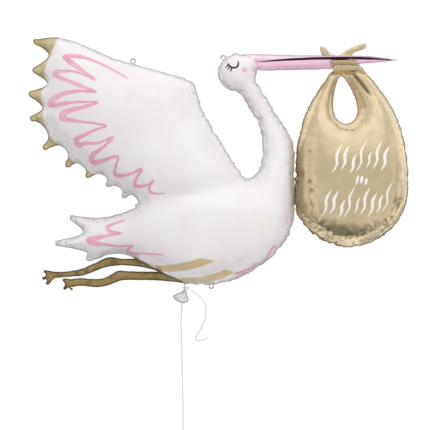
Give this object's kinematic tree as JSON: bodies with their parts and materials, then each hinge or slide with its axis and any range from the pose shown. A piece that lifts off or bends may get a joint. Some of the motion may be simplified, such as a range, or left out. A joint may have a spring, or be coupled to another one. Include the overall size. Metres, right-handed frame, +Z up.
{
  "type": "shaped foil balloon",
  "caption": "Large shaped foil balloon of a flying stork that carries a gold bundle in its beak, lying on its back with a curling ribbon.",
  "frame": {"origin": "middle of the balloon's own box in X and Y, at the surface that it lies on, the ribbon not counted", "axes": "+X along the balloon's length from its tail to the tip of its beak, +Y from its feet to the top of its wing, +Z up from the surface, out of its printed front"},
  "size_m": [1.5012, 1.7016, 0.2671],
  "materials": {
    "pearl_film": "satin pearl white printed foil film",
    "gold_film": "satin gold metallised foil film",
    "white_ribbon": "satin white curling ribbon"
  },
  "bodies": {
    "root": {"stork": "pearl_film", "bundle": "gold_film", "ribbon": "white_ribbon", "ribbon_tail": "white_ribbon", "ribbon_knot": "white_ribbon", "hand_loop": "white_ribbon"}
  },
  "joints": []
}
